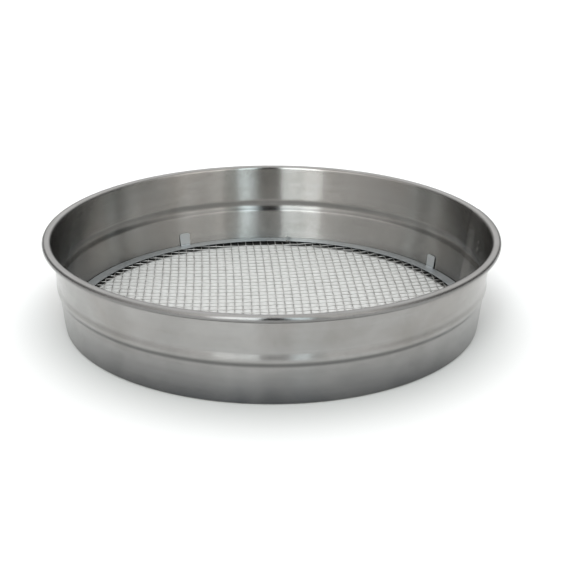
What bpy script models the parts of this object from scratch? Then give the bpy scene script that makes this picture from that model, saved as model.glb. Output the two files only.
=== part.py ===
"""A round soil sieve: a beaded sheet-metal hoop with a lift-out disc of woven wire cloth.

Metres, +Z up. The hoop stands on its bottom lip, centred on the origin. The disc lies loose on
the lip inside the hoop: two flat clamp rings grip the edge of the cloth, and four tabs bent up
from the upper ring are its finger grips. The disc lifts straight up out of the hoop.
"""
import math

import bmesh
import bpy
from mathutils import Matrix, Vector

MM = 0.001
GAP = 0.3 * MM                   # clearance between pieces that rest on each other
TURN_STEPS = 72                  # facets in one full turn

# The hoop, rolled from one strip. Heights are above the floor, radii from the sieve's axis.
SHEET = 0.4 * MM                 # thickness of the strip
RIM_RADIUS = 150.0 * MM          # outside of the rolled rim
RIM_TOP = 59.6 * MM
RIM_ROLL = 2.1 * MM              # outside radius of the roll, half the rim's height
WALL_FOOT_RADIUS = 138.1 * MM    # outside of the wall, carried down to the floor
WALL_SLOPE = 0.11                # the wall widens by this much for each unit of height
LIP_RADIUS = 131.0 * MM          # inner edge of the lip that the disc rests on
LIP_BEND = 1.6 * MM              # outside radius of the bend from wall to lip
BEAD_BOTTOM = 24.6 * MM          # stiffening bead, pressed outwards round the wall
BEAD_CREST = 29.0 * MM
BEAD_TOP = 34.5 * MM
BEAD_DEPTH = 1.1 * MM
LAP_ANGLES = (5.0, 10.0, 15.0)   # degrees round the hoop where the strip's end laps over inside
LAP_ROOT = 0.2 * MM              # depth to which the lapped end is fused into the sheet

# The lift-out disc
LOWER_RING_OUTER = 136.6 * MM
LOWER_RING_INNER = 129.4 * MM
UPPER_RING_OUTER = 137.6 * MM
UPPER_RING_INNER = 130.6 * MM
RING_SHEET = 0.5 * MM
RING_JOINT_ANGLE = 85.0          # degrees: butt joint of the upper ring
RING_JOINT_WIDTH = 0.4 * MM
TAB_ANGLES = (32.0, 119.0, 213.0, 299.0)
TAB_WIDTH = 8.0 * MM
TAB_HEIGHT = 9.6 * MM            # above the upper ring's underside
TAB_BEND = 0.75 * MM             # radius of the bend at mid-thickness
TAB_FACE_RADIUS = 137.45 * MM    # mid-thickness of the upright part, at its foot
TAB_ROOT = 1.7 * MM              # flat length that is one with the ring
TAB_CORNER = 1.5 * MM

# The woven cloth, each set of wires joined by a thin selvedge band inside the clamp rings
WIRE_RADIUS = 0.35 * MM
WIRE_SIDES = 6
WARP_PITCH = 5.76 * MM
WARP_PHASE = 3.7 * MM            # distance of one warp wire from the disc's centre
WEFT_PITCH = 6.19 * MM
WEFT_PHASE = -0.14 * MM
WEAVE_TURN = 2.9                 # degrees the weave is turned in the disc
BAND_OUTER = 135.1 * MM
BAND_INNER = 130.9 * MM
BAND_THICKNESS = 0.62 * MM
WIRE_REACH = 129.0 * MM          # no wire lies further off centre than this


def clear_scene():
    for thing in list(bpy.data.objects):
        bpy.data.objects.remove(thing, do_unlink=True)


def new_collection(name):
    collection = bpy.data.collections.new(name)
    bpy.context.scene.collection.children.link(collection)
    return collection


def metal(name, colour, roughness):
    material = bpy.data.materials.new(name)
    material.use_nodes = True
    shader = material.node_tree.nodes["Principled BSDF"]
    shader.inputs["Base Color"].default_value = (*colour, 1.0)
    shader.inputs["Metallic"].default_value = 1.0
    shader.inputs["Roughness"].default_value = roughness
    return material


def stainless_steel():
    return metal("stainless_steel", (0.62, 0.61, 0.59), 0.3)


def galvanised_steel():
    return metal("galvanised_steel", (0.47, 0.51, 0.54), 0.42)


def wire_steel():
    return metal("wire_steel", (0.6, 0.59, 0.57), 0.35)


def add_object(name, bm, collection, material=None):
    """Turn a bmesh into a named object."""
    mesh = bpy.data.meshes.new(name)
    bm.to_mesh(mesh)
    bm.free()
    thing = bpy.data.objects.new(name, mesh)
    collection.objects.link(thing)
    if material:
        mesh.materials.append(material)
    return thing


def add_cutter(name, bm, collection):
    cutter = add_object(name, bm, collection)
    cutter.hide_render = True
    cutter.display_type = "WIRE"
    return cutter


def add_boolean(thing, operation, other):
    modifier = thing.modifiers.new(f"{operation.lower()}_{other.name}", "BOOLEAN")
    modifier.operation = operation
    modifier.object = other


def profile_mesh(points, closed):
    """A chain of edges through (radius, height) points, standing in the XZ plane."""
    bm = bmesh.new()
    corners = [bm.verts.new((radius, 0.0, height)) for radius, height in points]
    for start, end in zip(corners, corners[1:]):
        bm.edges.new((start, end))
    if closed:
        bm.edges.new((corners[-1], corners[0]))
    return bm


def add_turn(thing):
    """Turn the object's profile one full circle about Z."""
    screw = thing.modifiers.new("turn", "SCREW")
    screw.axis = "Z"
    screw.angle = math.tau
    screw.steps = TURN_STEPS
    screw.render_steps = TURN_STEPS
    screw.use_merge_vertices = True
    screw.merge_threshold = 0.00001
    screw.use_smooth_shade = True


def arc(centre, radius, start, end, steps):
    """Points on a circle, from one angle to another in degrees."""
    points = []
    for step in range(steps + 1):
        angle = math.radians(start + (end - start) * step / steps)
        points.append((centre[0] + radius * math.cos(angle), centre[1] + radius * math.sin(angle)))
    return points


def wall_inner_radius(height):
    """Inner face of the plain wall, before the bead is pressed in."""
    return WALL_FOOT_RADIUS + WALL_SLOPE * height - SHEET


def bead_swell(height):
    """How far the bead pushes the wall outwards: a long upper flank and a short lower one."""
    if height >= BEAD_CREST:
        rise = (BEAD_TOP - height) / (BEAD_TOP - BEAD_CREST)
    else:
        rise = (height - BEAD_BOTTOM) / (BEAD_CREST - BEAD_BOTTOM)
    return BEAD_DEPTH * rise * rise * (3.0 - 2.0 * rise)


def wall_profile():
    """Inner face from just above the lip, up the wall and round the rolled rim."""
    points = []
    foot = LIP_BEND
    points.append((wall_inner_radius(foot), foot))
    for share in (0.0, 0.3, 0.6, 1.0):
        height = BEAD_BOTTOM + (BEAD_CREST - BEAD_BOTTOM) * share
        points.append((wall_inner_radius(height) + bead_swell(height), height))
    for share in (0.35, 0.7, 1.0):
        height = BEAD_CREST + (BEAD_TOP - BEAD_CREST) * share
        points.append((wall_inner_radius(height) + bead_swell(height), height))
    roll_height = RIM_TOP - RIM_ROLL
    lean = math.degrees(math.atan(WALL_SLOPE))
    inner_centre = (wall_inner_radius(roll_height) + RIM_ROLL, roll_height)
    points += arc(inner_centre, RIM_ROLL, 180.0 - lean, 90.0, 3)
    outer_centre = (RIM_RADIUS - RIM_ROLL, roll_height)
    points += arc(outer_centre, RIM_ROLL, 90.0, -90.0, 6)
    tail_radius = wall_inner_radius(roll_height) + 2.5 * SHEET
    points.append((tail_radius + SHEET, roll_height - RIM_ROLL))
    return points


def hoop_profile():
    """Inner face of the whole hoop, from the lip's edge to the tail of the rolled rim."""
    bend = LIP_BEND - SHEET
    bend_centre = (wall_inner_radius(LIP_BEND) - bend, LIP_BEND)
    lip = [(LIP_RADIUS, SHEET)]
    lip += arc(bend_centre, bend, -90.0, -22.5, 3)
    return lip + wall_profile()


def offset_profile(points, distance):
    """Shift an open chain sideways, to the left of its direction of travel."""
    shifted = []
    for index, point in enumerate(points):
        before = Vector(points[max(index - 1, 0)])
        after = Vector(points[min(index + 1, len(points) - 1)])
        along = (after - before).normalized()
        sideways = Vector((-along.y, along.x))
        shifted.append(Vector(point) + sideways * distance)
    return shifted


def lap_bmesh():
    """The strip's end, lapped over the inside of the hoop: a closed loft of the wall's section."""
    wall = wall_profile()
    outline = offset_profile(wall, SHEET) + list(reversed(offset_profile(wall, -LAP_ROOT)))
    bm = bmesh.new()
    sections = []
    for degrees in LAP_ANGLES:
        angle = math.radians(degrees)
        section = []
        for radius, height in outline:
            section.append(bm.verts.new((radius * math.cos(angle), radius * math.sin(angle), height)))
        sections.append(section)
    count = len(outline)
    for near, far in zip(sections, sections[1:]):
        for index in range(count):
            following = (index + 1) % count
            bm.faces.new((near[index], near[following], far[following], far[index]))
    bm.faces.new(sections[0])
    bm.faces.new(sections[-1])
    bmesh.ops.recalc_face_normals(bm, faces=bm.faces)
    return bm


def make_hoop(parts, cutters):
    hoop = add_object("hoop", profile_mesh(hoop_profile(), closed=False), parts, stainless_steel())
    add_turn(hoop)
    sheet = hoop.modifiers.new("sheet", "SOLIDIFY")
    sheet.thickness = SHEET
    sheet.offset = -1.0
    sheet.use_even_offset = True
    add_boolean(hoop, "UNION", add_cutter("lap_form", lap_bmesh(), cutters))
    return hoop


def ring_profile(outer, inner, thickness):
    """A rectangular section resting on height zero, down its outer side first."""
    return [(outer, thickness), (outer, 0.0), (inner, 0.0), (inner, thickness)]


def make_flat_ring(name, outer, inner, thickness, parts, material):
    section = ring_profile(outer, inner, thickness)
    ring = add_object(name, profile_mesh(section, closed=True), parts, material)
    add_turn(ring)
    return ring


def tab_bmesh():
    """One finger tab: a bent strip that leaves the ring flat and turns up beside the wall."""
    half = RING_SHEET / 2.0
    middle = half
    bend_centre = (TAB_FACE_RADIUS - TAB_BEND, middle + TAB_BEND)
    inset = 0.05 * MM            # keeps the tab's flat root inside the ring's thickness
    root = bend_centre[0] - TAB_ROOT
    top_radius = TAB_FACE_RADIUS + WALL_SLOPE * (TAB_HEIGHT - bend_centre[1])
    outline = [(root, middle - half + inset)]
    outline += arc(bend_centre, TAB_BEND + half - inset, -90.0, 0.0, 4)
    outline.append((top_radius + half - inset, TAB_HEIGHT))
    outline.append((top_radius - half + inset, TAB_HEIGHT))
    outline += arc(bend_centre, TAB_BEND - half + inset, 0.0, -90.0, 4)
    outline.append((root, middle + half - inset))
    bm = bmesh.new()
    corners = [bm.verts.new((radius, -TAB_WIDTH / 2.0, height)) for radius, height in outline]
    face = bm.faces.new(corners)
    swept = bmesh.ops.extrude_face_region(bm, geom=[face])
    far_corners = [item for item in swept["geom"] if isinstance(item, bmesh.types.BMVert)]
    bmesh.ops.translate(bm, verts=far_corners, vec=(0.0, TAB_WIDTH, 0.0))
    bmesh.ops.recalc_face_normals(bm, faces=bm.faces)
    top_edges = []
    for edge in bm.edges:
        ends = [corner.co for corner in edge.verts]
        at_top = min(end.z for end in ends) > TAB_HEIGHT - inset
        if at_top and abs(ends[0].y - ends[1].y) < inset:
            top_edges.append(edge)
    bmesh.ops.bevel(bm, geom=top_edges, offset=TAB_CORNER, segments=3, profile=0.5, affect="EDGES")
    return bm


def joint_bmesh():
    """A thin blade that parts the ring at its butt joint."""
    bm = bmesh.new()
    bmesh.ops.create_cube(bm, size=1.0)
    reach = UPPER_RING_OUTER - UPPER_RING_INNER + 4.0 * MM
    bmesh.ops.scale(bm, verts=bm.verts, vec=(reach, RING_JOINT_WIDTH, 4.0 * RING_SHEET))
    middle = (UPPER_RING_OUTER + UPPER_RING_INNER) / 2.0
    bmesh.ops.translate(bm, verts=bm.verts, vec=(middle, 0.0, 0.0))
    return bm


def place(thing, parent, height, turn=0.0):
    thing.parent = parent
    thing.location = (0.0, 0.0, height)
    thing.rotation_euler = (0.0, 0.0, math.radians(turn))


def make_upper_ring(parts, cutters, parent, height):
    section = (UPPER_RING_OUTER, UPPER_RING_INNER, RING_SHEET)
    ring = make_flat_ring("upper_clamp_ring", *section, parts, galvanised_steel())
    place(ring, parent, height)
    for number, degrees in enumerate(TAB_ANGLES, start=1):
        tab = add_cutter(f"tab_form_{number}", tab_bmesh(), cutters)
        place(tab, parent, height, degrees)
        add_boolean(ring, "UNION", tab)
    blade = add_cutter("ring_joint_blade", joint_bmesh(), cutters)
    place(blade, parent, height, RING_JOINT_ANGLE)
    add_boolean(ring, "DIFFERENCE", blade)
    return ring


def wire_offsets(pitch, phase):
    """Distances of one set's wires from the centre line, at an even pitch."""
    first = math.ceil((-WIRE_REACH - phase) / pitch)
    last = math.floor((WIRE_REACH - phase) / pitch)
    return [phase + number * pitch for number in range(first, last + 1)]


def bars_bmesh(offsets):
    """Straight wires along Y, each ending inside the selvedge band."""
    bm = bmesh.new()
    end_radius = (BAND_OUTER + BAND_INNER) / 2.0
    flat_side_up = Matrix.Rotation(math.radians(30.0), 4, "Z")
    lay_down = Matrix.Rotation(math.radians(90.0), 4, "X")
    for offset in offsets:
        length = 2.0 * math.sqrt(end_radius**2 - offset**2)
        shift = Matrix.Translation((offset, 0.0, BAND_THICKNESS / 2.0))
        bmesh.ops.create_cone(
            bm,
            cap_ends=True,
            segments=WIRE_SIDES,
            radius1=WIRE_RADIUS,
            radius2=WIRE_RADIUS,
            depth=length,
            matrix=shift @ lay_down @ flat_side_up,
        )
    return bm


def make_wires(name, turn, offsets, parts, cutters, parent, height):
    """One set of parallel wires, its ends joined by the selvedge band."""
    wires = make_flat_ring(name, BAND_OUTER, BAND_INNER, BAND_THICKNESS, parts, wire_steel())
    place(wires, parent, height, turn)
    bars = add_cutter(f"{name}_bars", bars_bmesh(offsets), cutters)
    place(bars, parent, height, turn)
    add_boolean(wires, "UNION", bars)
    return wires


def make_disc(parts, cutters):
    """The lift-out disc, all of it carried by an empty on the axis that it lifts along."""
    carrier = bpy.data.objects.new("disc_carrier", None)
    carrier.location = (0.0, 0.0, SHEET + GAP)
    parts.objects.link(carrier)
    section = (LOWER_RING_OUTER, LOWER_RING_INNER, RING_SHEET)
    lower_ring = make_flat_ring("lower_clamp_ring", *section, parts, galvanised_steel())
    place(lower_ring, carrier, 0.0)
    level = RING_SHEET + GAP
    offsets = wire_offsets(WARP_PITCH, WARP_PHASE)
    make_wires("warp_wires", WEAVE_TURN, offsets, parts, cutters, carrier, level)
    level += BAND_THICKNESS + GAP
    offsets = wire_offsets(WEFT_PITCH, WEFT_PHASE)
    make_wires("weft_wires", WEAVE_TURN + 90.0, offsets, parts, cutters, carrier, level)
    level += BAND_THICKNESS + GAP
    make_upper_ring(parts, cutters, carrier, level)


def main():
    clear_scene()
    parts = new_collection("soil_sieve")
    cutters = new_collection("forms")
    make_hoop(parts, cutters)
    make_disc(parts, cutters)


main()
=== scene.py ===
import math

import bpy
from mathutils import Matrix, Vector, noise


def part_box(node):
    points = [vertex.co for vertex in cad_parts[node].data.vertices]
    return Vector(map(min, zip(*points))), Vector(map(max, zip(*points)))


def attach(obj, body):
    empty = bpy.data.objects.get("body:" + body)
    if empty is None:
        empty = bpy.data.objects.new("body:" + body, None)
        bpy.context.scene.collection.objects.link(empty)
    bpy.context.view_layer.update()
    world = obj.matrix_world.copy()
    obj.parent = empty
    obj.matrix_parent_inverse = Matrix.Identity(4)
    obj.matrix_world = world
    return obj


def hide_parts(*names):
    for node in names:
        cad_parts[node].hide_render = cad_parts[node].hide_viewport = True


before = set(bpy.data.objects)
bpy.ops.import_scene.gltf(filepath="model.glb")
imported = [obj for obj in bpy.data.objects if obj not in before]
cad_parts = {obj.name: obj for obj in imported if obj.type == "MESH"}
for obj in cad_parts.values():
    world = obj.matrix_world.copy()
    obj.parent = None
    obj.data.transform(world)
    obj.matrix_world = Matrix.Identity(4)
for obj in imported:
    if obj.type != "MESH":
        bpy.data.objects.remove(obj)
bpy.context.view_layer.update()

MM = 0.001

# Hoop
HOOP_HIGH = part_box("hoop")[1]
SHEET = 0.4 * MM
LAP_GAP = 0.03 * MM
RIM_RADIUS = HOOP_HIGH.x
RIM_TOP = HOOP_HIGH.z - SHEET - LAP_GAP  # the lapped end stands one sheet higher
RIM_ROLL = 2.1 * MM
WALL_FOOT_RADIUS = RIM_RADIUS - 11.9 * MM
WALL_SLOPE = 0.11
WALL_STEPS = 110
LIP_RADIUS = RIM_RADIUS - 19.0 * MM
LIP_BEND = 1.6 * MM
BEAD_BOTTOM = 24.6 * MM
BEAD_CREST = 29.0 * MM
BEAD_TOP = 34.5 * MM
BEAD_DEPTH = 1.1 * MM
BRUSH_TILT = 0.38                        # how far the rolling lines' facets lean up and down

# The hoop's lapped joint; its angles are in degrees from +X, anticlockwise from above
LAP_START = 15.0                         # visible edge of the lapped end, inside
LAP_END = 5.0                            # where the outer end stops
LAP_EASE = 19.0                          # over this much the lapped end settles back
LAP_STEP = 0.2                           # between the strip's sections near the joint
STRIP_STEP = 1.0                         # between them elsewhere
LAP_SPRING = 0.7 * MM                    # the lapped end's edge stands off the wall
LAP_HELD = 5.0 * MM                      # but not this close to the lip,
LAP_RIM_HELD = 8.0 * MM                  # nor this close to the rim's top
FLAT_DEPTH = 0.35 * MM                   # the strip is flatter beside the joint
FLAT_SPREAD = 7.0                        # degrees
LAP_SHADE_SPREAD = 5.0                       # degrees of painted shade beyond the lapped end's edge
LAP_DARK_REFLECTION_SPREAD = 30.0                    # degrees of painted darker reflection on both sides of the joint
WELD_ANGLES = (6.6,)
WELD_HEIGHTS = (9.0 * MM, 17.0 * MM, 37.7 * MM, 42.8 * MM)
WELD_RADIUS = 1.7 * MM
WELD_DEPTH = 0.22 * MM

# Waves in the wall, from noise: size of the ring it is read along, height of one step, its start,
# and the depth in mm
WALL_WAVES = (
    (3.1, 30.0 * MM, 0.0, 0.16),
    (9.0, 90.0 * MM, 7.0, 0.05),
)

# Disc
RING_LOW, RING_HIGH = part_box("upper_clamp_ring")
LOWER_RING_LOW, LOWER_RING_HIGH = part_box("lower_clamp_ring")
RING_SHEET = LOWER_RING_HIGH.z - LOWER_RING_LOW.z
LOWER_RING_OUTER = LOWER_RING_HIGH.x
LOWER_RING_INNER = LOWER_RING_OUTER - 7.2 * MM
RING_OUTER = LOWER_RING_OUTER + 1.0 * MM
RING_INNER = RING_OUTER - 7.0 * MM
RING_JOINT = 85.0                        # degrees
RING_JOINT_WIDTH = 0.4 * MM
RING_SECTIONS = 360
RING_WAVE = 0.05 * MM
RING_UPTURN = 1.1 * MM                   # how far its upper end at the joint stands up,
RING_UPTURN_LENGTH = 3.5 * MM            # and over what length
TAB_ANGLES = (32.0, 119.0, 213.0, 299.0)
TAB_WIDTH = 8.0 * MM
TAB_TOP = RING_HIGH.z
TAB_CORNER = 1.5 * MM
TAB_FACE = RING_OUTER - 0.4 * MM         # inner face of the upright part, at its foot
TAB_BEND = 0.5 * MM                      # inside radius of the bend
TAB_ROWS = 8
NOTCH_REACH = 1.2                        # half widths of a tab, to the far side of its notches

# Cloth
WARP_LOW, WARP_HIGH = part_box("warp_wires")
WEFT_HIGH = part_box("weft_wires")[1]
WIRE_RADIUS = 0.35 * MM
WIRE_SIDES = 8
WIRE_WANDER = 0.22 * MM                  # sideways straying of single wires
WARP_CRIMP = 0.55 * MM                   # the warp bends round the straighter weft
WEFT_CRIMP = 0.15 * MM
WEAVE_TURN = 2.9                         # degrees
WARP_PITCH = 5.76 * MM
WARP_PHASE = 3.7 * MM
WARP_SKEW = 0.0216
WARP_BOW = -0.00018 / MM
WEFT_PITCH = 6.19 * MM
WEFT_PHASE = -0.14 * MM
WEFT_SKEW = 0.04
WEFT_BOW = 0.0006 / MM
CLOTH_LEVEL = (WARP_LOW.z + WEFT_HIGH.z) / 2.0
CLOTH_RADIUS = WARP_HIGH.x - 1.5 * MM
CLOTH_SAG = 0.8 * MM
POINTS_PER_PITCH = 4

# Studio: the light that arrives from each side, by its angle from the front, and a panel overhead
WALL_LIGHTS = (
    (-180.0, (0.22, 0.22, 0.22)),
    (-150.0, (0.05, 0.05, 0.05)),
    (-120.0, (0.04, 0.04, 0.04)),
    (-100.0, (0.30, 0.30, 0.29)),
    (-78.0, (0.85, 0.83, 0.81)),
    (-45.0, (1.45, 1.42, 1.38)),
    (-30.0, (2.00, 1.98, 1.94)),
    (-28.0, (4.10, 4.25, 4.25)),
    (-20.0, (4.10, 4.25, 4.25)),
    (-17.5, (3.70, 3.90, 3.90)),
    (-16.8, (2.40, 2.50, 2.55)),
    (-16.0, (3.60, 3.80, 3.80)),
    (-6.2, (3.30, 3.55, 3.60)),
    (-5.4, (0.02, 0.02, 0.02)),
    (6.5, (0.02, 0.02, 0.02)),
    (8.4, (0.60, 0.68, 0.70)),
    (9.4, (1.70, 1.95, 2.05)),
    (12.0, (1.80, 2.10, 2.20)),
    (13.0, (3.10, 3.60, 3.75)),
    (19.0, (3.10, 3.60, 3.75)),
    (20.3, (0.90, 1.00, 1.00)),
    (27.0, (0.90, 0.92, 0.88)),
    (28.5, (2.00, 2.00, 1.95)),
    (34.0, (1.85, 1.83, 1.78)),
    (40.5, (1.45, 1.43, 1.38)),
    (51.5, (1.85, 1.82, 1.77)),
    (59.7, (1.15, 1.13, 1.09)),
    (77.0, (0.60, 0.59, 0.57)),
    (96.0, (0.12, 0.12, 0.12)),
    (130.0, (0.02, 0.02, 0.02)),
    (180.0, (0.22, 0.22, 0.22)),
)
PANEL_BACK = 0.50
PANEL_UP = 0.866
PANEL_EDGE = 0.55
PANEL_FULL = 0.85
PANEL_LIGHT = 1.6
HORIZON_LIGHT = (0.30, 0.30, 0.30)
HORIZON_TOP = 0.06
BOXES_FROM = 0.24

# Floor
FLOOR_RADIUS = 6.0
FLOOR_DROP = 0.02 * MM
SHADE_FULL = 0.11                        # radius of the painted shadow on the floor under the sieve, and where it has faded out
SHADE_END = 0.2                          # and where it has faded out

# Camera
CAMERA_LENS = 73.7
CAMERA_SHIFT = 0.0285
CAMERA_DOWN = 21.98                      # degrees
CAMERA_DISTANCE = 0.7965
CAMERA_AIM = Vector((0.0, 0.0, 0.0165))


# ---------------------------------------------------------------- geometry

def smoothstep(value):
    value = min(1.0, max(0.0, value))
    return value * value * (3.0 - 2.0 * value)


def arc(centre, radius, start, end, steps):
    points = []
    for step in range(steps + 1):
        angle = math.radians(start + (end - start) * step / steps)
        points.append((centre[0] + radius * math.cos(angle), centre[1] + radius * math.sin(angle)))
    return points


def straight(start, end, steps):
    """Points from start towards end, without the last one."""
    points = []
    for step in range(steps):
        share = step / steps
        points.append(tuple(a + (b - a) * share for a, b in zip(start, end)))
    return points


def around(radius, degrees, height):
    angle = math.radians(degrees)
    return Vector((radius * math.cos(angle), radius * math.sin(angle), height))


def turn_between(degrees, other):
    """From another angle to this one the short way round, in degrees."""
    return (degrees - other + 180.0) % 360.0 - 180.0


def mesh_piece(name, points, faces):
    mesh = bpy.data.meshes.new(name)
    mesh.from_pydata([tuple(point) for point in points], [], faces)
    mesh.update()
    piece = bpy.data.objects.new(name, mesh)
    bpy.context.scene.collection.objects.link(piece)
    return piece


def smooth(piece, sharp_degrees=40.0):
    piece.data.shade_smooth()
    piece.data.set_sharp_from_angle(angle=math.radians(sharp_degrees))


def thicken(piece, thickness):
    """Give an open sheet its thickness, on the side away from its normals."""
    sheet = piece.modifiers.new("sheet", "SOLIDIFY")
    sheet.thickness = thickness
    sheet.offset = -1.0
    sheet.use_even_offset = True
    smoothing = piece.modifiers.new("soft_edges", "BEVEL")
    smoothing.width = thickness * 0.3
    smoothing.segments = 2
    smoothing.limit_method = "ANGLE"
    smoothing.angle_limit = math.radians(60.0)
    smoothing.harden_normals = True


# ---------------------------------------------------------------- hoop

def wall_inner_radius(height):
    return WALL_FOOT_RADIUS + WALL_SLOPE * height - SHEET


def bead_swell(height):
    if not BEAD_BOTTOM < height < BEAD_TOP:
        return 0.0
    if height >= BEAD_CREST:
        return BEAD_DEPTH * smoothstep((BEAD_TOP - height) / (BEAD_TOP - BEAD_CREST))
    return BEAD_DEPTH * smoothstep((height - BEAD_BOTTOM) / (BEAD_CREST - BEAD_BOTTOM))


def hoop_profile():
    """Inner face as (radius, height) points, from the lip's edge to the tail of the rolled rim."""
    bend = LIP_BEND - SHEET
    bend_centre = (wall_inner_radius(LIP_BEND) - bend, LIP_BEND)
    points = straight((LIP_RADIUS, SHEET), (bend_centre[0], SHEET), 5)
    lean = math.degrees(math.atan(WALL_SLOPE))
    points += arc(bend_centre, bend, -90.0, -lean, 8)
    foot = LIP_BEND + 0.8 * MM
    roll_height = RIM_TOP - RIM_ROLL
    for step in range(WALL_STEPS):
        height = foot + (roll_height - 0.6 * MM - foot) * step / WALL_STEPS
        points.append((wall_inner_radius(height) + bead_swell(height), height))
    inner_centre = (wall_inner_radius(roll_height) + RIM_ROLL, roll_height)
    points += arc(inner_centre, RIM_ROLL, 180.0 - lean, 95.0, 9)
    outer_centre = (RIM_RADIUS - RIM_ROLL, roll_height)
    points += arc(outer_centre, RIM_ROLL, 90.0, -90.0, 20)
    tail = (wall_inner_radius(roll_height) + 3.5 * SHEET, roll_height - RIM_ROLL)
    points += straight(points.pop(), tail, 4) + [tail]
    return points


def profile_normals(points):
    """For each point, the direction to the left of the line of travel: towards the sieve's axis."""
    normals = []
    for index in range(len(points)):
        before = Vector(points[max(index - 1, 0)])
        after = Vector(points[min(index + 1, len(points) - 1)])
        along = (after - before).normalized()
        normals.append(Vector((-along.y, along.x)))
    return normals


def strip_angles():
    """Angles of the strip's sections from its inner end, once round and under the lap."""
    angles = []
    angle = LAP_START
    while angle > LAP_END - 360.0:
        angles.append(angle)
        angle -= LAP_STEP if angle > 0.0 else STRIP_STEP
    angles.append(LAP_END - 360.0)
    return angles


def lap_shift(degrees, height):
    """How far the strip stands inside its own other end; its free edge springs off the wall."""
    if degrees < LAP_END:
        return (SHEET + LAP_GAP) * smoothstep((degrees - LAP_END + LAP_EASE) / LAP_EASE)
    to_edge = (degrees - LAP_END) / (LAP_START - LAP_END)
    below_rim = smoothstep((RIM_TOP - LAP_RIM_HELD - height) / LAP_HELD)
    free = below_rim * smoothstep((height - LAP_HELD) / LAP_HELD)
    return SHEET + LAP_GAP + LAP_SPRING * free * smoothstep(2.0 * to_edge - 1.0)


def weld_dimple(degrees, radius, height):
    """Depth of the electrode marks on the lapped end."""
    depth = 0.0
    for weld_angle in WELD_ANGLES:
        for weld_height in WELD_HEIGHTS:
            aside = math.radians(degrees - weld_angle) * radius
            distance = math.hypot(aside, height - weld_height)
            depth += WELD_DEPTH * smoothstep(1.0 - (distance / WELD_RADIUS - 0.55) / 0.45)
    return depth


def unevenness(degrees, height):
    """Slow waves left by rolling the strip, and the flatter stretch beside the joint."""
    angle = math.radians(degrees)
    wave = 0.0
    for across, length, start, depth in WALL_WAVES:
        up = height / length + start
        spot = Vector((across * math.cos(angle), across * math.sin(angle), up))
        wave += noise.noise(spot) * depth * MM
    beside_joint = turn_between(degrees, 0.5 * (LAP_START + LAP_END)) / FLAT_SPREAD
    flat = -FLAT_DEPTH * math.exp(-beside_joint * beside_joint)
    at_foot = smoothstep((height - 5.0 * MM) / (6.0 * MM))
    at_rim = smoothstep((RIM_TOP - height) / (5.0 * MM))
    return (wave + flat) * (at_foot * at_rim)


def make_hoop():
    profile = hoop_profile()
    normals = profile_normals(profile)
    angles = strip_angles()
    lip_rows = sum(1 for radius, height in profile if height < LIP_BEND)
    points = []
    for degrees in angles:
        for (radius, height), normal in zip(profile, normals):
            on_wall = smoothstep((height - LIP_BEND) / (2.0 * MM))
            inside_rim = 1.0 - max(0.0, normal.x)
            shift = lap_shift(degrees, height) * on_wall * inside_rim
            shift -= unevenness(degrees, height)
            if degrees > 0.0:
                shift -= weld_dimple(degrees, radius, height)
            points.append(around(radius + normal.x * shift, degrees, height + normal.y * shift))
    rows = len(profile)
    faces = []
    for column in range(len(angles) - 1):
        notched = angles[column] > LAP_END
        for row in range(rows - 1):
            if notched and row < lip_rows:
                continue
            corner = column * rows + row
            faces.append((corner, corner + rows, corner + rows + 1, corner + 1))
    hoop = mesh_piece("hoop_sheet", points, faces)
    smooth(hoop)
    thicken(hoop, SHEET)
    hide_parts("hoop")
    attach(hoop, "frame")
    return hoop


# ---------------------------------------------------------------- clamp rings

def tab_height(across):
    """Top of a tab at a distance from its middle, with its two corners rounded."""
    past = abs(across) - (TAB_WIDTH / 2.0 - TAB_CORNER)
    if past <= 0.0:
        return TAB_TOP
    return TAB_TOP - TAB_CORNER + math.sqrt(max(0.0, TAB_CORNER**2 - past**2))


def ring_angles(tab_angles):
    """Angles of a ring's sections, closer together at the tabs, from one joint end to the other."""
    half_joint = math.degrees(RING_JOINT_WIDTH / 2.0 / RING_OUTER)
    first, last = RING_JOINT + half_joint, RING_JOINT + 360.0 - half_joint
    half_tab = math.degrees(TAB_WIDTH / 2.0 / RING_OUTER)
    special = [first, last]
    for tab in tab_angles:
        centre = tab if tab > first else tab + 360.0
        for share in (-NOTCH_REACH, -1.0, -0.98, -0.93, -0.85, -0.75, -0.6, -0.3):
            special += [centre + share * half_tab, centre - share * half_tab]
        special.append(centre)
    angles = list(special)
    for step in range(1, RING_SECTIONS):
        angle = first + (last - first) * step / RING_SECTIONS
        if min(abs(angle - other) for other in special) > 0.4:
            angles.append(angle)
    return sorted(angles)


def ring_lift(degrees):
    """The ring is not quite flat, and its upper end at the joint stands up a little."""
    angle = math.radians(degrees)
    wave = RING_WAVE * noise.noise(Vector((2.5 * math.cos(angle), 2.5 * math.sin(angle), 0.3)))
    from_end = math.radians(RING_JOINT + 360.0 - degrees) * RING_OUTER
    upturn = RING_UPTURN * smoothstep(1.0 - from_end / RING_UPTURN_LENGTH) ** 2
    return wave + RING_WAVE + upturn


def tab_column(points, first, degrees, crest, bend, rise):
    """One column of a tab's points, from the flat ring round the bend to its crest, as rows."""
    rows = [first]
    for radius, height in bend:
        rows.append(len(points))
        points.append(around(radius, degrees, height + rise))
    start = bend[-1][1]
    for step in range(1, TAB_ROWS + 1):
        height = start + (crest - start) * step / TAB_ROWS
        rows.append(len(points))
        face = TAB_FACE + WALL_SLOPE * (height - start)
        points.append(around(face, degrees, height))
    return rows


def quads(near, far, count):
    """Faces between the first rows of two neighbouring columns."""
    return [(near[row], near[row + 1], far[row + 1], far[row]) for row in range(count)]


def used_points(points, faces):
    """The same faces, with the points that none of them uses left out."""
    used = sorted({corner for face in faces for corner in face})
    renumber = {old: new for new, old in enumerate(used)}
    kept = [points[old] for old in used]
    return kept, [tuple(renumber[corner] for corner in face) for face in faces]


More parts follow.
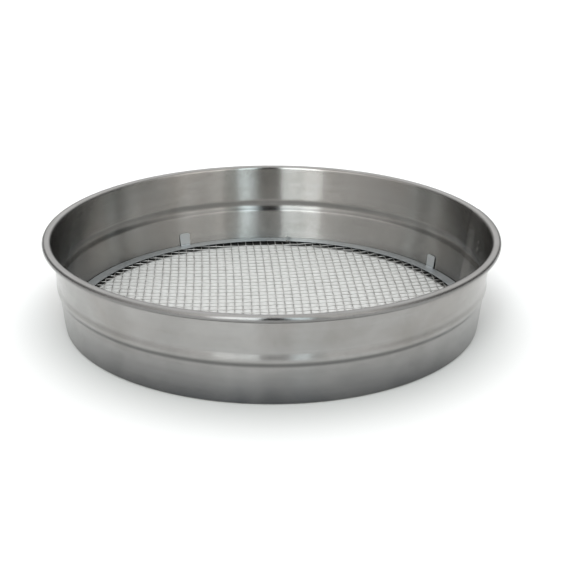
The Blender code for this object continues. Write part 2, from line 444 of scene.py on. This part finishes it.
def make_ring(name, node, inner, outer, top, tab_angles, lift):
    """A flat ring as an open sheet along its top face, with upright tabs, then given thickness."""
    half_tab = math.degrees(TAB_WIDTH / 2.0 / RING_OUTER)
    flat_end = TAB_FACE - TAB_BEND
    notch_start = flat_end - 1.0 * MM
    radii = [inner, inner + 0.6 * MM, inner + 2.5 * MM, notch_start, flat_end]
    if not tab_angles:
        radii = [inner, inner + 0.6 * MM, inner + 2.5 * MM, outer - 0.6 * MM]
    bend = arc((flat_end, top + TAB_BEND), TAB_BEND, -90.0, 0.0, 5)[1:]
    angles = ring_angles(tab_angles)
    points, faces = [], []
    flat_rows, tab_rows, edge_rows = [], {}, {}
    for column, degrees in enumerate(angles):
        rise = lift(degrees)
        flat_rows.append(range(len(points), len(points) + len(radii)))
        points += [around(radius, degrees, top + rise) for radius in radii]
        edge_rows[column] = len(points)
        points.append(around(outer, degrees, top + rise))
        for tab in tab_angles:
            aside = turn_between(degrees, tab)
            if abs(aside) < half_tab * 1.001:
                crest = tab_height(math.radians(aside) * RING_OUTER)
                first = flat_rows[column][-1]
                tab_rows[column] = tab_column(points, first, degrees, crest, bend, rise)
    for column in range(len(angles) - 1):
        middle = (angles[column] + angles[column + 1]) / 2.0
        asides = [abs(turn_between(middle, tab)) for tab in tab_angles]
        nearest = min(asides, default=180.0)
        in_notch = half_tab < nearest < NOTCH_REACH * half_tab
        near, far = flat_rows[column], flat_rows[column + 1]
        faces += quads(near, far, len(radii) - (2 if in_notch else 1))
        if nearest < half_tab:
            near, far = tab_rows[column], tab_rows[column + 1]
            faces += quads(near, far, len(near) - 1)
        elif not in_notch:
            faces.append((near[-1], edge_rows[column], edge_rows[column + 1], far[-1]))
    points, faces = used_points(points, faces)
    ring = mesh_piece(name, points, faces)
    smooth(ring)
    thicken(ring, RING_SHEET)
    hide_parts(node)
    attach(ring, "mesh_disc")
    return ring


# ---------------------------------------------------------------- woven cloth

def cloth_level(x, y):
    """Middle of the cloth: it hangs a little lower towards the middle of the disc."""
    inside = 1.0 - (x * x + y * y) / (LOWER_RING_INNER * LOWER_RING_INNER)
    return CLOTH_LEVEL - CLOTH_SAG * smoothstep(inside)


def wire_numbers(pitch, phase):
    reach = LOWER_RING_INNER - 0.4 * MM
    return range(math.ceil((-reach - phase) / pitch), math.floor((reach - phase) / pitch) + 1)


def warp_offset(along_warp):
    """Sideways place of a warp wire: the cloth is a little skewed and bowed in the rings."""
    return WARP_PHASE + WARP_SKEW * along_warp + WARP_BOW * along_warp**2


def weft_offset(along_weft):
    return WEFT_PHASE + WEFT_SKEW * along_weft + WEFT_BOW * along_weft**2


def wander(number, along, seed):
    """Small sideways straying of one wire."""
    return WIRE_WANDER * noise.noise(Vector((number * 0.9, along / (70.0 * MM), seed)))


def cloth_point(across_warp, along_warp, lift):
    """From the cloth's own directions to the disc's, or None beyond the clamped edge."""
    turn = math.radians(WEAVE_TURN)
    x = across_warp * math.cos(turn) - along_warp * math.sin(turn)
    y = across_warp * math.sin(turn) + along_warp * math.cos(turn)
    if math.hypot(x, y) > CLOTH_RADIUS:
        return None
    return Vector((x, y, cloth_level(x, y) + lift))


def warp_path(number):
    """One warp wire from clamp to clamp, over one weft wire and under the next."""
    step = WEFT_PITCH / POINTS_PER_PITCH
    reach = round(CLOTH_RADIUS / step)
    path = []
    for index in range(-reach, reach + 1):
        along = WEFT_PHASE + index * step
        across = warp_offset(along) + number * WARP_PITCH
        crossing = (along - weft_offset(across)) / WEFT_PITCH
        lift = WARP_CRIMP * math.cos(math.pi * (crossing + number))
        path.append(cloth_point(across + wander(number, along, 5.0), along, lift))
    return [point for point in path if point]


def weft_path(number):
    """One weft wire, which takes the other side of each crossing."""
    step = WARP_PITCH / POINTS_PER_PITCH
    reach = round(CLOTH_RADIUS / step)
    path = []
    for index in range(-reach, reach + 1):
        across = WARP_PHASE + index * step
        along = weft_offset(across) + number * WEFT_PITCH
        crossing = (across - warp_offset(along)) / WARP_PITCH
        lift = -WEFT_CRIMP * math.cos(math.pi * (crossing + number))
        path.append(cloth_point(across, along + wander(number, across, -5.0), lift))
    return [point for point in path if point]


def add_tube(points, faces, path, radius):
    """A round wire along the path, closed at both ends."""
    first = len(points)
    for index, place in enumerate(path):
        before = path[max(index - 1, 0)]
        after = path[min(index + 1, len(path) - 1)]
        along = (after - before).normalized()
        across = along.cross(Vector((0.0, 0.0, 1.0))).normalized()
        upwards = across.cross(along)
        for side in range(WIRE_SIDES):
            angle = math.tau * side / WIRE_SIDES
            points.append(place + (across * math.cos(angle) + upwards * math.sin(angle)) * radius)
    for index in range(len(path) - 1):
        ring = first + index * WIRE_SIDES
        for side in range(WIRE_SIDES):
            following = (side + 1) % WIRE_SIDES
            near = (ring + side, ring + following)
            faces.append((near[1], near[0], near[0] + WIRE_SIDES, near[1] + WIRE_SIDES))
    last = first + (len(path) - 1) * WIRE_SIDES
    faces.append(tuple(range(first, first + WIRE_SIDES)))
    faces.append(tuple(range(last + WIRE_SIDES - 1, last - 1, -1)))


def make_wires(name, node, paths):
    points, faces = [], []
    for path in paths:
        add_tube(points, faces, path, WIRE_RADIUS)
    wires = mesh_piece(name, points, faces)
    smooth(wires, 80.0)
    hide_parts(node)
    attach(wires, "mesh_disc")
    return wires


# ---------------------------------------------------------------- materials

class Shader:
    """A node tree, built by naming each node and what goes into its sockets."""

    def __init__(self, owner, last_node):
        owner.use_nodes = True
        self.tree = owner.node_tree
        self.last = self.tree.nodes[last_node]

    def add(self, kind, inputs=None, **settings):
        node = self.tree.nodes.new(kind)
        for key, value in settings.items():
            setattr(node, key, value)
        for key, value in (inputs or {}).items():
            self.feed(node.inputs[key], value)
        return node

    def feed(self, socket, value):
        if isinstance(value, bpy.types.NodeSocket):
            self.tree.links.new(value, socket)
        else:
            socket.default_value = value

    def math(self, operation, first, second=0.0, third=0.0, clamp=False):
        node = self.add("ShaderNodeMath", {0: first, 1: second, 2: third}, operation=operation)
        node.use_clamp = clamp
        return node.outputs[0]

    def times(self, first, second):
        return self.math("MULTIPLY", first, second)

    def noise(self, vector, scale, detail=3.0, roughness=0.5, distortion=0.0):
        inputs = {"Vector": vector, "Scale": scale, "Detail": detail, "Roughness": roughness}
        inputs["Distortion"] = distortion
        return self.add("ShaderNodeTexNoise", inputs).outputs["Fac"]

    def remap(self, value, low, high, new_low, new_high):
        inputs = {0: value, 1: low, 2: high, 3: new_low, 4: new_high}
        return self.add("ShaderNodeMapRange", inputs).outputs[0]

    def fade_in(self, value, low, high):
        inputs = {0: value, 1: low, 2: high}
        node = self.add("ShaderNodeMapRange", inputs, interpolation_type="SMOOTHSTEP")
        return node.outputs[0]

    def near(self, value, middle, core, reach, strength):
        """Mask of what is close to a value: full strength within core, gone beyond reach."""
        away = self.math("ABSOLUTE", self.math("SUBTRACT", value, middle))
        return self.remap(away, core, reach, strength, 0.0)

    def mix(self, factor, first, second):
        node = self.add("ShaderNodeMix", data_type="RGBA")
        self.feed(node.inputs[0], factor)
        self.feed(node.inputs[6], first)
        self.feed(node.inputs[7], second)
        return node.outputs[2]

    def shade(self, **inputs):
        for name, value in inputs.items():
            self.feed(self.last.inputs[name.replace("_", " ")], value)

    def bump(self, height, distance, strength=1.0, normal=None):
        inputs = {"Height": height, "Distance": distance, "Strength": strength}
        if normal:
            inputs["Normal"] = normal
        return self.add("ShaderNodeBump", inputs).outputs["Normal"]

    def position(self):
        return self.add("ShaderNodeTexCoord").outputs["Object"]

    def place(self):
        """The position as x, y and z."""
        return self.add("ShaderNodeSeparateXYZ", {0: self.position()}).outputs

    def from_axis(self, x, y):
        return self.math("SQRT", self.math("ADD", self.times(x, x), self.times(y, y)))

    def outside_wall(self):
        """Mask of the hoop's outer face."""
        x, y, height = self.place()
        wall = self.math("MULTIPLY_ADD", height, WALL_SLOPE, WALL_FOOT_RADIUS - SHEET / 2.0)
        return self.math("GREATER_THAN", self.from_axis(x, y), wall)

    def lap_painted_shade(self):
        """Mask of painted shade and painted darker reflection at the joint: strong just beyond the
        lapped end's edge.
        """
        x, y = self.place()[:2]
        degrees = self.times(self.math("ARCTAN2", y, x), math.degrees(1.0))
        fading = self.remap(degrees, LAP_START, LAP_START + LAP_SHADE_SPREAD, 1.0, 0.0)
        beyond = self.math("GREATER_THAN", degrees, LAP_START)
        close = self.times(fading, beyond)
        wide = self.near(degrees, LAP_START - 3.0, 6.0, LAP_DARK_REFLECTION_SPREAD, 0.68)
        wide = self.times(wide, self.math("MULTIPLY_ADD", beyond, 0.4, 0.6))
        return self.math("MAXIMUM", close, wide)

    def tilt_up_and_down(self, normal, amount):
        """Facets of the finest rolling lines: each faces a little higher or lower than the sheet."""
        facet = self.add("ShaderNodeTexWhiteNoise", {"Vector": self.position()}).outputs["Value"]
        moved = self.add("ShaderNodeVectorMath", {0: self.position(), 1: (0.37, 0.11, 0.23)})
        other = self.add("ShaderNodeTexWhiteNoise", {"Vector": moved.outputs[0]}).outputs["Value"]
        swing = self.times(self.math("SUBTRACT", facet, other), amount)
        lean = self.add("ShaderNodeCombineXYZ", {2: swing}).outputs[0]
        turned = self.add("ShaderNodeVectorMath", {0: normal, 1: lean}).outputs[0]
        return self.add("ShaderNodeVectorMath", {0: turned}, operation="NORMALIZE").outputs[0]

    def round_position(self, along, outwards, upwards):
        """The place on the turned sheet as (arc length, radius, height), each scaled by a factor."""
        x, y, height = self.place()
        arc_length = self.times(self.math("ARCTAN2", y, x), RIM_RADIUS * along)
        radius = self.times(self.from_axis(x, y), outwards)
        inputs = {0: arc_length, 1: radius, 2: self.times(height, upwards)}
        return self.add("ShaderNodeCombineXYZ", inputs).outputs[0]


def new_material(name):
    material = bpy.data.materials.new(name)
    return material, Shader(material, "Principled BSDF")


def colour(red, green, blue):
    return (red, green, blue, 1.0)


def strip_layers(shader, bands, stains):
    """The tones that lie over the strip's own, each with its mask: streaks, stains, a darker foot,
    painted shade and painted darker reflections.
    """
    across, front, height = shader.place()
    outside = shader.outside_wall()
    inside = shader.math("SUBTRACT", 1.0, outside)
    streaks = shader.remap(bands, 0.3, 0.75, 0.0, 0.45)
    brown = shader.remap(stains, 0.48, 0.7, 0.0, 0.5)
    # darker towards the foot, inside and out
    tone_blend = shader.remap(height, 0.0, 9.0 * MM, 0.5, 0.0)
    # Painted shade: the outer wall darker towards its foot and towards the front, standing in for the
    # shaded floor it reflects there
    painted_foot_shade = shader.times(outside, shader.remap(height, 0.0, BEAD_CREST, 1.0, 0.23))
    painted_foot_shade = shader.times(painted_foot_shade, shader.remap(stains, 0.35, 0.65, 0.8, 1.1))
    towards_front = shader.remap(front, -RIM_RADIUS, -0.3 * RIM_RADIUS, 1.0, 0.5)
    painted_foot_shade = shader.times(painted_foot_shade, towards_front)
    # Painted shade in the bead's inner groove, and a painted darker reflection on the outer ledge above
    # its crest
    ledge_shade = shader.near(height, 0.5 * (BEAD_CREST + BEAD_TOP), 0.5 * MM, 3.2 * MM, 0.3)
    ledge_shade = shader.times(outside, ledge_shade)
    groove_shade = shader.near(height, 0.5 * (BEAD_BOTTOM + BEAD_CREST), 0.5 * MM, 2.6 * MM, 0.3)
    # Painted shade on the underside of the bead, outside
    bead_underside_shade = shader.near(height, BEAD_BOTTOM + 1.9 * MM, 0.4 * MM, 2.0 * MM, 0.5)
    bead_underside_shade = shader.times(outside, bead_underside_shade)
    # Painted darker reflection over the rolled rim's outer face
    rim_shade = shader.remap(height, RIM_TOP - 2.4 * RIM_ROLL, RIM_TOP - 2.1 * RIM_ROLL, 0.0, 0.5)
    rim_shade = shader.times(outside, rim_shade)
    # Painted shade: the inner wall darker towards the left side, where its reflections are darker
    left_wall_shade = shader.remap(across, -0.82 * RIM_RADIUS, -0.95 * RIM_RADIUS, 0.0, 0.65)
    return (
        (streaks, colour(0.47, 0.465, 0.455)),
        (brown, colour(0.33, 0.305, 0.275)),
        (tone_blend, colour(0.24, 0.225, 0.205)),
        # painted shade at the foot of the outer wall
        (painted_foot_shade, colour(0.075, 0.08, 0.09)),
        # painted shade and painted darker reflection on the bead
        (shader.math("MAXIMUM", ledge_shade, groove_shade), colour(0.17, 0.165, 0.155)),
        # painted shade under the bead and a painted darker reflection on the rolled rim
        (shader.math("MAXIMUM", bead_underside_shade, rim_shade), colour(0.12, 0.12, 0.12)),
        # painted shade on the left of the inner wall
        (shader.times(left_wall_shade, inside), colour(0.12, 0.12, 0.12)),
        # painted shade and painted darker reflection beside the lapped joint
        (shader.times(inside, shader.lap_painted_shade()), colour(0.13, 0.125, 0.12)),
    )


def stainless():
    """Cold-rolled strip: fine lines run round the hoop, so reflections smear up and down."""
    material, shader = new_material("stainless_strip")
    place = shader.position()
    lines = shader.noise(shader.round_position(10.0, 400.0, 7000.0), 1.0, 3.0, 0.6)
    bands = shader.noise(shader.round_position(6.0, 60.0, 300.0), 1.0, 3.0, 0.55)
    smudges = shader.noise(place, 38.0, 5.0, 0.62, 0.4)
    stains = shader.noise(place, 11.0, 4.0, 0.6, 0.8)
    smudged = shader.remap(smudges, 0.35, 0.7, 0.0, 1.0)
    tone = shader.mix(smudged, colour(0.43, 0.42, 0.405), colour(0.36, 0.355, 0.34))
    for mask, layer in strip_layers(shader, bands, stains):
        tone = shader.mix(mask, tone, layer)
    rough = shader.remap(smudges, 0.3, 0.75, 0.16, 0.22)
    rough = shader.math("ADD", rough, shader.remap(lines, 0.3, 0.7, -0.02, 0.02))
    normal = shader.tilt_up_and_down(shader.bump(bands, 0.05 * MM, 0.15), BRUSH_TILT)
    tangent = shader.add("ShaderNodeTangent", direction_type="RADIAL", axis="Z").outputs[0]
    shader.shade(Base_Color=tone, Metallic=1.0, Roughness=rough, Normal=normal, Tangent=tangent)
    shader.shade(Anisotropic=1.0, Anisotropic_Rotation=0.25)
    return material


def galvanised():
    """Zinc-coated sheet: blue-grey, with faint spangles and rubbed patches, lighter on the tabs."""
    material, shader = new_material("galvanised_sheet")
    place = shader.position()
    cells = shader.add("ShaderNodeTexVoronoi", {"Vector": place, "Scale": 420.0})
    spangle = shader.add("ShaderNodeRGBToBW", {0: cells.outputs["Color"]}).outputs[0]
    rubbed = shader.noise(place, 90.0, 5.0, 0.65, 0.3)
    scratches = shader.noise(shader.round_position(40.0, 1500.0, 1500.0), 1.0, 3.0, 0.6)
    height = shader.place()[2]
    on_tab = shader.remap(height, RING_LOW.z + 1.2 * MM, RING_LOW.z + 2.0 * MM, 0.0, 0.8)
    tone = shader.mix(spangle, colour(0.37, 0.395, 0.41), colour(0.47, 0.495, 0.51))
    for mask, layer in (
        (shader.remap(rubbed, 0.5, 0.75, 0.0, 0.6), colour(0.48, 0.49, 0.49)),
        (shader.remap(scratches, 0.62, 0.72, 0.0, 0.5), colour(0.66, 0.67, 0.67)),
        (on_tab, colour(0.64, 0.66, 0.67)),
    ):
        tone = shader.mix(mask, tone, layer)
    rough = shader.remap(spangle, 0.0, 1.0, 0.38, 0.48)
    normal = shader.bump(spangle, 0.01 * MM, 0.2)
    normal = shader.bump(rubbed, 0.03 * MM, 0.2, normal)
    shader.shade(Base_Color=tone, Metallic=0.85, Roughness=rough, Normal=normal)
    return material


def painted_shade_zinc():
    """The same sheet painted near black: painted shade for the lower ring, which lies in shadow under
    the cloth.
    """
    material, shader = new_material("painted_shade_sheet")
    place = shader.position()
    blotches = shader.noise(place, 260.0, 4.0, 0.6)
    scuffs = shader.noise(place, 1500.0, 3.0, 0.6)
    tone_blend = shader.remap(blotches, 0.35, 0.65, 0.0, 1.0)
    # painted shade: two near-black tones for the shadowed lower ring
    tone = shader.mix(tone_blend, colour(0.025, 0.025, 0.025), colour(0.06, 0.058, 0.054))
    rough = shader.remap(scuffs, 0.3, 0.7, 0.45, 0.65)
    normal = shader.bump(blotches, 0.05 * MM, 0.5)
    shader.shade(Base_Color=tone, Metallic=0.6, Roughness=rough, Normal=normal)
    return material


def wire_steel():
    """Drawn wire: bright, with draw lines and duller patches."""
    material, shader = new_material("drawn_wire")
    place = shader.position()
    patches = shader.noise(place, 120.0, 4.0, 0.6)
    grain = shader.noise(place, 2400.0, 3.0, 0.6)
    dull = shader.remap(patches, 0.35, 0.7, 0.0, 1.0)
    tone = shader.mix(dull, colour(0.50, 0.495, 0.485), colour(0.38, 0.375, 0.365))
    rough = shader.remap(grain, 0.3, 0.7, 0.34, 0.5)
    normal = shader.bump(grain, 0.01 * MM, 0.5)
    shader.shade(Base_Color=tone, Metallic=1.0, Roughness=rough, Normal=normal)
    return material


def paper_floor():
    """Matt white paper, with a painted shadow: a little greyer under the sieve."""
    material, shader = new_material("pale_floor")
    measure = shader.add("ShaderNodeVectorMath", {0: shader.position()}, operation="LENGTH")
    fall = shader.fade_in(measure.outputs["Value"], SHADE_FULL, SHADE_END)
    # painted shadow: the paper tone is greyer under the sieve
    tone = shader.mix(fall, colour(0.69, 0.69, 0.68), colour(0.90, 0.90, 0.90))
    shader.shade(Base_Color=tone, Roughness=0.9)
    return material


def set_material(piece, material):
    piece.data.materials.clear()
    piece.data.materials.append(material)


# ---------------------------------------------------------------- stage

def make_floor():
    drop = (0.0, 0.0, -FLOOR_DROP)
    bpy.ops.mesh.primitive_circle_add(vertices=96, radius=FLOOR_RADIUS, fill_type="NGON", location=drop)
    floor = bpy.context.active_object
    floor.name = "floor"
    set_material(floor, paper_floor())


def light_colour(tone, peak):
    """A light as a colour of at most 1; the background's strength brings it back up."""
    return colour(*(part / peak for part in tone))


def make_world():
    """A light tent: soft boxes above an even horizon, a panel overhead, and a white backdrop."""
    world = bpy.data.worlds.new("studio")
    bpy.context.scene.world = world
    shader = Shader(world, "Background")
    peak = max(max(tone) for degrees, tone in WALL_LIGHTS)
    direction = shader.add("ShaderNodeTexCoord").outputs["Generated"]
    x, y, z = shader.add("ShaderNodeSeparateXYZ", {0: direction}).outputs
    # Angle from the camera's side (-Y), positive towards +X, as 0 to 1 with the camera at 0.5
    turn = shader.math("ARCTAN2", x, shader.times(y, -1.0))
    turn = shader.math("ADD", shader.math("DIVIDE", turn, math.tau), 0.5)
    ramp = shader.add("ShaderNodeValToRGB", {0: turn})
    elements = ramp.color_ramp.elements
    elements.remove(elements[1])
    for index, (degrees, tone) in enumerate(WALL_LIGHTS):
        place = degrees / 360.0 + 0.5
        element = elements[0] if index == 0 else elements.new(place)
        element.position = place
        element.color = light_colour(tone, peak)
    # Near the horizon the light is even; the soft boxes start above it
    above = shader.fade_in(z, HORIZON_TOP, BOXES_FROM)
    light = shader.mix(above, light_colour(HORIZON_LIGHT, peak), ramp.outputs[0])
    # The panel: full strength within a cone about its own middle direction
    toward = shader.math("ADD", shader.times(y, PANEL_BACK), shader.times(z, PANEL_UP))
    in_panel = shader.fade_in(toward, PANEL_EDGE, PANEL_FULL)
    light = shader.mix(in_panel, light, light_colour([PANEL_LIGHT] * 3, peak))
    seen = shader.add("ShaderNodeLightPath").outputs["Is Camera Ray"]
    light = shader.mix(seen, light, light_colour([1.0] * 3, peak))
    shader.shade(Color=light, Strength=peak)


def make_camera():
    """Stands in front of the sieve and looks down at it."""
    data = bpy.data.cameras.new("camera")
    data.sensor_width = 36.0
    data.lens = CAMERA_LENS
    data.shift_x = CAMERA_SHIFT
    data.clip_start = 0.05
    data.clip_end = 50.0
    camera = bpy.data.objects.new("camera", data)
    bpy.context.scene.collection.objects.link(camera)
    down = math.radians(CAMERA_DOWN)
    back = Vector((0.0, -math.cos(down), math.sin(down)))
    camera.location = CAMERA_AIM + back * CAMERA_DISTANCE
    camera.rotation_euler = (math.pi / 2.0 - down, 0.0, 0.0)
    bpy.context.scene.camera = camera


def main():
    set_material(make_hoop(), stainless())
    zinc = galvanised()
    ring_top = RING_LOW.z + RING_SHEET
    upper = (RING_INNER, RING_OUTER, ring_top, TAB_ANGLES, ring_lift)
    set_material(make_ring("upper_ring", "upper_clamp_ring", *upper), zinc)
    lower = (LOWER_RING_INNER, LOWER_RING_OUTER, LOWER_RING_HIGH.z, (), lambda degrees: 0.0)
    set_material(make_ring("lower_ring", "lower_clamp_ring", *lower), painted_shade_zinc())
    wire = wire_steel()
    warp = [warp_path(number) for number in wire_numbers(WARP_PITCH, WARP_PHASE)]
    weft = [weft_path(number) for number in wire_numbers(WEFT_PITCH, WEFT_PHASE)]
    set_material(make_wires("warp_cloth", "warp_wires", warp), wire)
    set_material(make_wires("weft_cloth", "weft_wires", weft), wire)
    make_floor()
    make_world()
    make_camera()
    bpy.context.scene.view_settings.view_transform = "Standard"


main()
